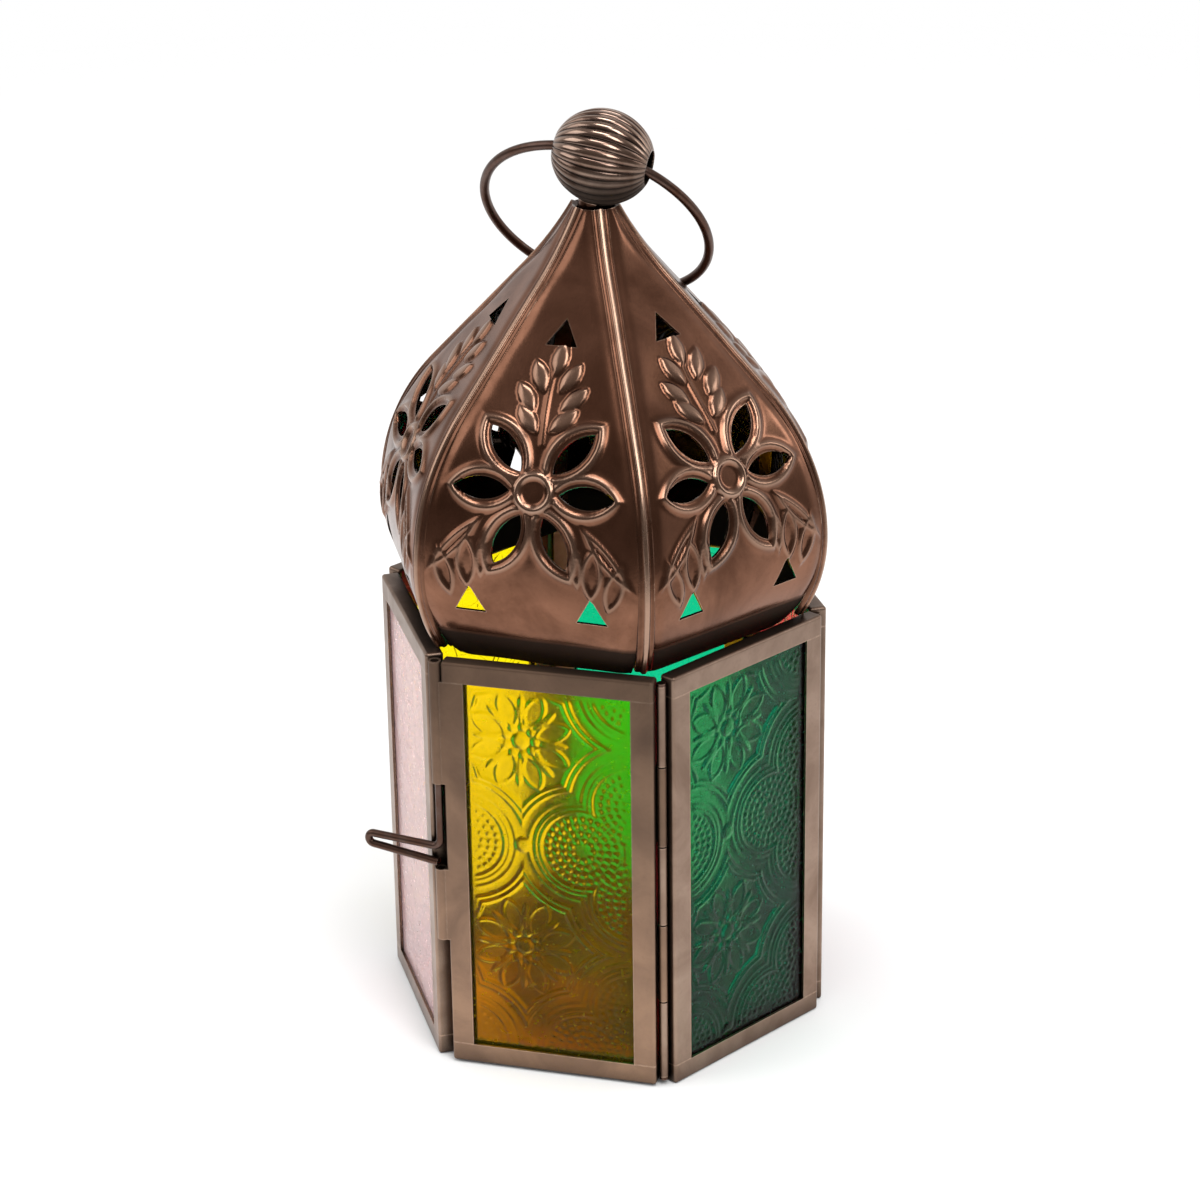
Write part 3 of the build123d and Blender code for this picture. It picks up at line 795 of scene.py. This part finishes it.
class LANTERN_OT_panes(bpy.types.Operator):
    """Presses the six panes of pattern glass"""

    bl_idname = "lantern.panes"
    bl_label = "Glass panes"

    def execute(self, context):
        glass = sizes_of("glass")
        glasses = {name: pattern_glass(name) for name in sorted(set(PANE_GLASS.values()))}
        for number, (name, azimuth) in enumerate(PANELS.items()):
            is_door = name == DOOR
            node = "door_pane" if is_door else f"{name}_pane"
            mesh = frame["nodes"][node].data
            corners = np.array([v.co for v in mesh.vertices])
            out = heading(radians(azimuth))
            level = heading(radians(azimuth) + pi / 2)
            width, depth, rise = (
                (line.min(), line.max()) for line in (corners @ level, corners @ out, corners[:, 2])
            )
            columns = int((width[1] - width[0]) / glass.mesh_step)
            rows = int((rise[1] - rise[0]) / glass.mesh_step)
            x, z = np.meshgrid(np.linspace(*width, columns), np.linspace(*rise, rows))
            inset = np.minimum(
                np.minimum(x - width[0], width[1] - x), np.minimum(z - rise[0], rise[1] - z)
            )
            fade = np.clip((inset - glass.border) / BORDER_FADE, 0, 1)
            waves = sheet_waves(x, z, PANE_SEED + number, PANE_WAVE_LENGTH) * PANE_WAVE
            press = glass.smooth if PANE_GLASS[name] == "rose" else 1
            raised = (press * glass_relief(glass, x, z) + waves) * glass.relief * fade
            front = (
                x[..., None] * level
                + z[..., None] * np.array((0, 0, 1))
                + (depth[1] + raised)[..., None] * out
            )
            rim = np.concatenate(
                [
                    np.arange(columns),
                    np.arange(1, rows) * columns + columns - 1,
                    (rows - 1) * columns + np.arange(columns - 2, -1, -1),
                    np.arange(rows - 2, 0, -1) * columns,
                ]
            )
            face = front.reshape(-1, 3)
            back = face[rim] - (depth[1] - depth[0]) * out
            ring = np.arange(len(rim)) + len(face)
            walls = np.column_stack([np.roll(rim, -1), rim, ring, np.roll(ring, -1)])
            faces = [*grid_faces(rows, columns), *walls, ring[::-1]]
            points = np.concatenate([face, back])
            material = glasses[PANE_GLASS[name]]
            piece = mesh_piece(f"pattern_pane_{name}", points, faces, material, crisp=60)
            place(piece, "door" if is_door else "body", slot_of(node), node)
        return {"FINISHED"}


def slot_of(node):
    """Material slot that the record gives a node."""
    return next(part["material_slot"] for part in frame["record"]["subparts"] if part["node"] == node)


# Frames, wires and the inside


def finish_nodes(metal, *nodes):
    """Gives carried-over nodes a metal finish."""
    for node in nodes:
        mesh = frame["nodes"][node].data
        mesh.materials.clear()
        mesh.materials.append(worn_metal(metal))


class LANTERN_OT_frames(bpy.types.Operator):
    """Finishes the folded frames, the door's frame and the solder"""

    bl_idname = "lantern.frames"
    bl_label = "Frames"

    def execute(self, context):
        for name in PANELS:
            if name != DOOR:
                finish_nodes("frame_tin", f"{name}_stiles", f"{name}_rails")
        finish_nodes("door_tin", "door_hinge_stile", "door_latch_stile", "door_rails")
        finish_nodes("soft solder", "corner_solder")
        return {"FINISHED"}


class LANTERN_OT_wires(bpy.types.Operator):
    """Finishes the hinge pin, the latch and the carrying ring"""

    bl_idname = "lantern.wires"
    bl_label = "Wires"

    def execute(self, context):
        finish_nodes("drawn wire", "hinge_pin", "latch_wire", "carry_ring")
        return {"FINISHED"}


class LANTERN_OT_inside(bpy.types.Operator):
    """Finishes the tray and the candle cup"""

    bl_idname = "lantern.inside"
    bl_label = "Tray and cup"

    def execute(self, context):
        finish_nodes("inner tin", "floor_tray", "candle_cup")
        return {"FINISHED"}


# Finishes


class Tree:
    """Node tree with short calls that add nodes and join them."""

    def __init__(self, tree):
        self.tree = tree
        tree.nodes.clear()

    def feed(self, target, value):
        """Joins an output to a socket, or sets a plain value on it."""
        if isinstance(value, bpy.types.NodeSocket):
            self.tree.links.new(value, target)
        else:
            target.default_value = value

    def add(self, kind, inputs=None, **settings):
        """New node with its settings, and with inputs by name or number."""
        node = self.tree.nodes.new(kind)
        for key, value in settings.items():
            setattr(node, key, value)
        for key, value in (inputs or {}).items():
            self.feed(node.inputs[key], value)
        return node

    def between(self, value, low, high, to_low=0.0, to_high=1.0, **settings):
        """Maps a value from one span to another, clamped."""
        spans = {"Value": value, "From Min": low, "From Max": high, "To Min": to_low, "To Max": to_high}
        return self.add("ShaderNodeMapRange", spans, **settings).outputs[0]

    def math(self, operation, first, second):
        """Clamped sum, product or other operation on two values."""
        inputs = {0: first, 1: second}
        return self.add("ShaderNodeMath", inputs, operation=operation, use_clamp=True).outputs[0]

    def blend(self, factor, first, second):
        """Colour between two colours."""
        inputs = {0: factor}
        for number, value in ((6, first), (7, second)):
            inputs[number] = value if isinstance(value, bpy.types.NodeSocket) else (*value, 1)
        return self.add("ShaderNodeMix", inputs, data_type="RGBA").outputs[2]


class Nodes(Tree):
    """Node tree of one material."""

    def __init__(self, name):
        self.material = bpy.data.materials.new(name)
        self.material.use_nodes = True
        super().__init__(self.material.node_tree)
        self.shader = self.add("ShaderNodeBsdfPrincipled")
        self.output = self.add("ShaderNodeOutputMaterial", {"Surface": self.shader.outputs[0]})
        self.place = self.add("ShaderNodeTexCoord").outputs["Object"]

    def look(self, name, value):
        """Joins or sets one input of the shader."""
        self.feed(self.shader.inputs[name], value)

    def noise(self, scale, detail, roughness, stretch=None, warp=0.0):
        """Noise of so many waves to the metre, optionally stretched along the axes."""
        place = self.place
        if stretch:
            place = self.add("ShaderNodeMapping", {"Vector": place, "Scale": stretch}).outputs[0]
        inputs = {"Vector": place, "Scale": scale, "Detail": detail}
        inputs |= {"Roughness": roughness, "Distortion": warp}
        return self.add("ShaderNodeTexNoise", inputs).outputs["Fac"]

    def height(self):
        """Height above the floor."""
        return self.add("ShaderNodeSeparateXYZ", {0: self.place}).outputs["Z"]

    def corners(self, distance):
        """How shut in a point is, from 0 in the open to 1 in a corner."""
        node = self.add("ShaderNodeAmbientOcclusion", {"Distance": distance}, samples=6)
        return self.between(node.outputs["AO"], 0.25, 0.95, 1, 0)

    def edges(self, radius):
        """How near a point is to a sharp edge, from 0 to 1."""
        rounded = self.add("ShaderNodeBevel", {"Radius": radius}, samples=4).outputs[0]
        normal = self.add("ShaderNodeNewGeometry").outputs["Normal"]
        dot = self.add("ShaderNodeVectorMath", {0: rounded, 1: normal}, operation="DOT_PRODUCT")
        return self.between(dot.outputs["Value"], 0.995, 0.86)

    def attribute(self, name):
        """Value that the mesh keeps at its points."""
        return self.add("ShaderNodeAttribute", attribute_name=name).outputs["Fac"]

    def emboss(self, height, distance, strength):
        """Fine bump under the shader."""
        inputs = {"Strength": strength, "Distance": distance, "Height": height}
        self.look("Normal", self.add("ShaderNodeBump", inputs).outputs[0])


# Metals: bare and dark colour, roughness, patches of patina to the metre, then in mm the width of rubbed
# edges and how near other faces are where painted shade darkens the corners.
METALS = {
    "roof copper": ("copper", "patina", 0.17, 60, 0.3, 2.5),
    "seam copper": ("copper", "patina", 0.2, 90, 0.25, 2.5),
    "bead copper": ("bead", "patina", 0.12, 120, 0.3, 2.5),
    "frame_tin": ("frame_tin", "frame_patina", 0.28, 70, 0.4, 6),
    "door_tin": ("door_tin", "frame_patina", 0.28, 70, 0.4, 6),
    "drawn wire": ("wire", "patina", 0.3, 220, 0.2, 2.5),
    "soft solder": ("solder", "frame_patina", 0.42, 400, 0.3, 2.5),
    "inner tin": ("inner", "patina", 0.4, 50, 0.3, 2.5),
}
# Metals on pieces that carry the height of their relief: ridges get the rubbed-bright colour, partly
# real rubbing and partly a painted highlight, and hollows and inner faces get painted shade.
RELIEF_SHADED = ("roof copper", "seam copper", "bead copper")
# Painted shade by height: in mm where a metal is unshaded and where it is fully shaded, and how much.
# The roof's hem and the bead's underside go dark below, the frames and door darker towards the top.
HEIGHT_SHADE = {
    "roof copper": (90.6, 89.4, 0.93),
    "bead copper": (173, 166, 0.9),
    "frame_tin": (10, 80, 0.25),
    "door_tin": (10, 80, 0.6),
}


@cache
def worn_metal(name):
    """Semi-gloss metal with clouded patina, painted shade in corners, hollows and by height, rubbed
    edges, ridges rubbed bright with a painted highlight, and scratches, made once.
    """
    finishes = sizes_of("finishes")
    bare, dark, gloss, cloud, edge, shut = METALS[name]
    dark = getattr(finishes, dark)
    nodes = Nodes(name)
    broad = nodes.noise(cloud, 5, 0.6, warp=0.6)
    fine = nodes.noise(1500, 3, 0.6)
    runs = nodes.noise(260, 3, 0.5, stretch=(1, 1, 0.12))
    stain = nodes.between(broad, 0.36, 0.66)
    stain = nodes.math("ADD", nodes.math("MULTIPLY", stain, 0.75), nodes.math("MULTIPLY", runs, 0.25))
    body = nodes.blend(stain, getattr(finishes, bare), dark)
    body = nodes.blend(nodes.between(fine, 0.55, 0.75, 0, 0.25), body, dark)
    # Painted shade: corners where other faces are near are darkened towards black, as shade would fall
    # there.
    body = nodes.blend(nodes.math("MULTIPLY", nodes.corners(shut * MM), 0.92), body, finishes.painted_shade)
    if name in RELIEF_SHADED:
        relief_shading = nodes.attribute("relief")
        # Raised relief takes the rubbed-bright colour: partly real rubbing, partly a painted highlight
        # on the ridges.
        body = nodes.blend(nodes.between(relief_shading, 0.4, 1.2, 0, 0.4), body, finishes.burnish_and_highlight)
        # Painted shade: hollows, dips and inner faces, whose relief lies below nothing, are darkened
        # towards black.
        body = nodes.blend(nodes.between(relief_shading, -0.02, -0.45, 0, 0.97), body, finishes.painted_shade)
    rubbed = nodes.math("MULTIPLY", nodes.edges(edge * MM), nodes.between(fine, 0.35, 0.6, 0.25, 0.8))
    body = nodes.blend(rubbed, body, finishes.burnish_and_highlight)
    nodes.look("Metallic", 1)
    nodes.look("Specular IOR Level", 0.05)
    rough = nodes.between(broad, 0.3, 0.7, gloss, gloss + 0.1)
    if name in HEIGHT_SHADE:
        unshaded, shaded, strength = HEIGHT_SHADE[name]
        # Painted shade by height, which also dulls the metal's shine where it is dark.
        painted_shade = nodes.between(nodes.height(), unshaded * MM, shaded * MM, 0, strength)
        body = nodes.blend(painted_shade, body, finishes.painted_shade)
        dull = nodes.math("MULTIPLY", painted_shade, painted_shade)
        nodes.look("Metallic", nodes.math("SUBTRACT", 1.0, dull))
        rough = nodes.math("ADD", rough, nodes.math("MULTIPLY", dull, 0.5))
    nodes.look("Base Color", body)
    nodes.look("Roughness", rough)
    nodes.emboss(nodes.math("ADD", nodes.math("MULTIPLY", fine, 0.6), runs), 0.03 * MM, 0.5)
    return nodes.material


def pattern_glass(name):
    """Coloured pattern glass with a slightly hammered face."""
    tint = getattr(sizes_of("finishes"), name)
    deeper = tuple(c**1.2 for c in tint)
    nodes = Nodes(f"{name} glass")
    cloud = nodes.noise(45, 4, 0.55)
    nodes.look("Base Color", nodes.blend(nodes.between(cloud, 0.35, 0.7), tint, deeper))
    nodes.look("Transmission Weight", 1 - HAZE.get(name, 0))
    nodes.look("IOR", 1.5)
    nodes.look("Specular IOR Level", 0.06)
    nodes.look("Specular Tint", (0.12, 0.12, 0.12, 1))
    nodes.look("Roughness", nodes.between(nodes.noise(700, 2, 0.5), 0.3, 0.7, 0.16, 0.28))
    nodes.emboss(nodes.noise(330, 2, 0.5, warp=0.4), 0.12 * MM, 0.6)
    return nodes.material


# Stage


# Lamps: compass angle and angle above the floor in degrees, distance, width and height in mm, watts.
LAMPS = {
    "key": (41, 50, 1100, 380, 680, 4.7),
    "overhead": (0, 86, 1100, 500, 300, 3.4),
    "fill": (-72, 34, 1300, 900, 900, 4.5),
    "side": (112, 20, 1200, 220, 600, 1.1),
}


class LANTERN_OT_stage(bpy.types.Operator):
    """Sets up the floor, the surroundings, the lamps and the camera"""

    bl_idname = "lantern.stage"
    bl_label = "Stage"

    def execute(self, context):
        stage = sizes_of("stage")
        context.scene.view_settings.view_transform = "Standard"
        pale_floor(stage)
        surroundings(stage)
        for name, settings in LAMPS.items():
            softbox(name, *settings)
        camera(stage)
        return {"FINISHED"}


def direction(azimuth, elevation):
    """Unit vector towards a compass angle and an angle above the floor, in radians."""
    return Vector(heading(azimuth)) * cos(elevation) + Vector((0, 0, 1)) * sin(elevation)


def pale_floor(stage):
    """Round pale floor under the lantern that fades into the white surroundings."""
    count = 96
    angles = np.linspace(0, 2 * pi, count, endpoint=False)
    rim = stage.floor_radius * np.column_stack([np.cos(angles), np.sin(angles), 0 * angles])
    nodes = Nodes("pale floor")
    shade = nodes.between(nodes.noise(3, 3, 0.5), 0.3, 0.7)
    tint = nodes.blend(shade, stage.floor_colour, tuple(0.985 * c for c in stage.floor_colour))
    nodes.look("Base Color", tint)
    nodes.look("Roughness", 0.9)
    nodes.look("Specular IOR Level", 0)
    reach = nodes.add("ShaderNodeVectorMath", {0: nodes.place}, operation="LENGTH").outputs["Value"]
    fade = nodes.between(reach, stage.floor_plain, stage.floor_radius)
    clear = nodes.add("ShaderNodeBsdfTransparent").outputs[0]
    cover = nodes.add("ShaderNodeMixShader", {0: fade, 1: nodes.shader.outputs[0], 2: clear})
    nodes.feed(nodes.output.inputs["Surface"], cover.outputs[0])
    mesh_piece("floor", rim, [range(count)], nodes.material)


def surroundings(stage):
    """White surroundings; polished metal sees a dark room, a pale backdrop behind and a grey ceiling."""
    world = bpy.data.worlds.new("studio")
    bpy.context.scene.world = world
    world.use_nodes = True
    nodes = Tree(world.node_tree)
    place = nodes.add("ShaderNodeTexCoord").outputs["Generated"]
    parts = nodes.add("ShaderNodeSeparateXYZ", {0: place}).outputs
    behind = nodes.between(parts["Y"], -0.15, 0.45, interpolation_type="SMOOTHSTEP")
    above = nodes.between(parts["Z"], 0.45, 0.9, interpolation_type="SMOOTHSTEP")
    dome = nodes.blend(above, nodes.blend(behind, stage.room, stage.backdrop), stage.ceiling)
    rays = nodes.add("ShaderNodeLightPath").outputs
    light = nodes.blend(rays["Is Glossy Ray"], [stage.ambient] * 3, dome)
    seen = nodes.math("MAXIMUM", rays["Is Camera Ray"], rays["Is Transmission Ray"])
    background = nodes.add("ShaderNodeBackground", {"Color": nodes.blend(seen, light, (1, 1, 1))})
    nodes.add("ShaderNodeOutputWorld", {"Surface": background.outputs[0]})


def softbox(name, azimuth, elevation, distance, width, height, power):
    """Rectangular soft lamp that faces the lantern."""
    lamp = bpy.data.lights.new(name, "AREA")
    lamp.shape = "RECTANGLE"
    lamp.size = width * MM
    lamp.size_y = height * MM
    lamp.energy = power
    holder = bpy.data.objects.new(name, lamp)
    aim = Vector((0, 0, sizes_of("stage").aim_height))
    away = direction(radians(azimuth), radians(elevation))
    holder.location = aim + away * distance * MM
    holder.rotation_euler = away.to_track_quat("Z", "Y").to_euler()
    bpy.context.collection.objects.link(holder)


def camera(stage):
    """Camera at the photograph's angle."""
    lens = bpy.data.cameras.new("camera")
    lens.lens = stage.lens
    lens.clip_start = 10 * MM
    eye = bpy.data.objects.new("camera", lens)
    back = direction(stage.azimuth, stage.elevation)
    right = Vector(heading(stage.azimuth + pi / 2))
    up = back.cross(right)
    aim = Vector((0, 0, stage.aim_height)) + right * stage.aim_across
    rolled_right = right * cos(stage.roll) + up * sin(stage.roll)
    rolled_up = up * cos(stage.roll) - right * sin(stage.roll)
    axes = Matrix((rolled_right, rolled_up, back)).transposed()
    eye.matrix_world = Matrix.Translation(aim + back * stage.distance) @ axes.to_4x4()
    bpy.context.collection.objects.link(eye)
    bpy.context.scene.camera = eye


# Add-on


class LANTERN_PT_sidebar(bpy.types.Panel):
    """Lists the lantern's operators and settings"""

    bl_idname = "LANTERN_PT_sidebar"
    bl_label = "Candle lantern"
    bl_space_type = "VIEW_3D"
    bl_region_type = "UI"
    bl_category = "Lantern"

    def draw(self, context):
        for operator in OPERATORS:
            self.layout.operator(operator.bl_idname)
        for group, kind in GROUPS.items():
            box = self.layout.box()
            box.label(text=group.capitalize())
            for key in kind.__annotations__:
                box.prop(sizes_of(group), key)


GROUPS = {
    "roof": RoofSizes,
    "finial": FinialSizes,
    "glass": GlassSizes,
    "finishes": LanternFinishes,
    "stage": StageSettings,
}
OPERATORS = (
    LANTERN_OT_stage,
    LANTERN_OT_frames,
    LANTERN_OT_panes,
    LANTERN_OT_roof_panels,
    LANTERN_OT_roof_seams,
    LANTERN_OT_finial,
    LANTERN_OT_wires,
    LANTERN_OT_inside,
)


def register():
    for kind in (*GROUPS.values(), *OPERATORS, LANTERN_PT_sidebar):
        bpy.utils.register_class(kind)
    for group, kind in GROUPS.items():
        setattr(bpy.types.Scene, "lantern_" + group, PointerProperty(type=kind))


def unregister():
    for group in GROUPS:
        delattr(bpy.types.Scene, "lantern_" + group)
    for kind in (LANTERN_PT_sidebar, *reversed(OPERATORS), *reversed(list(GROUPS.values()))):
        bpy.utils.unregister_class(kind)


def main():
    register()
    bpy.ops.lantern.stage()
    bpy.ops.lantern.frames()
    bpy.ops.lantern.panes()
    bpy.ops.lantern.roof_panels()
    bpy.ops.lantern.roof_seams()
    bpy.ops.lantern.finial()
    bpy.ops.lantern.wires()
    bpy.ops.lantern.inside()


if __name__ == "__main__":
    main()
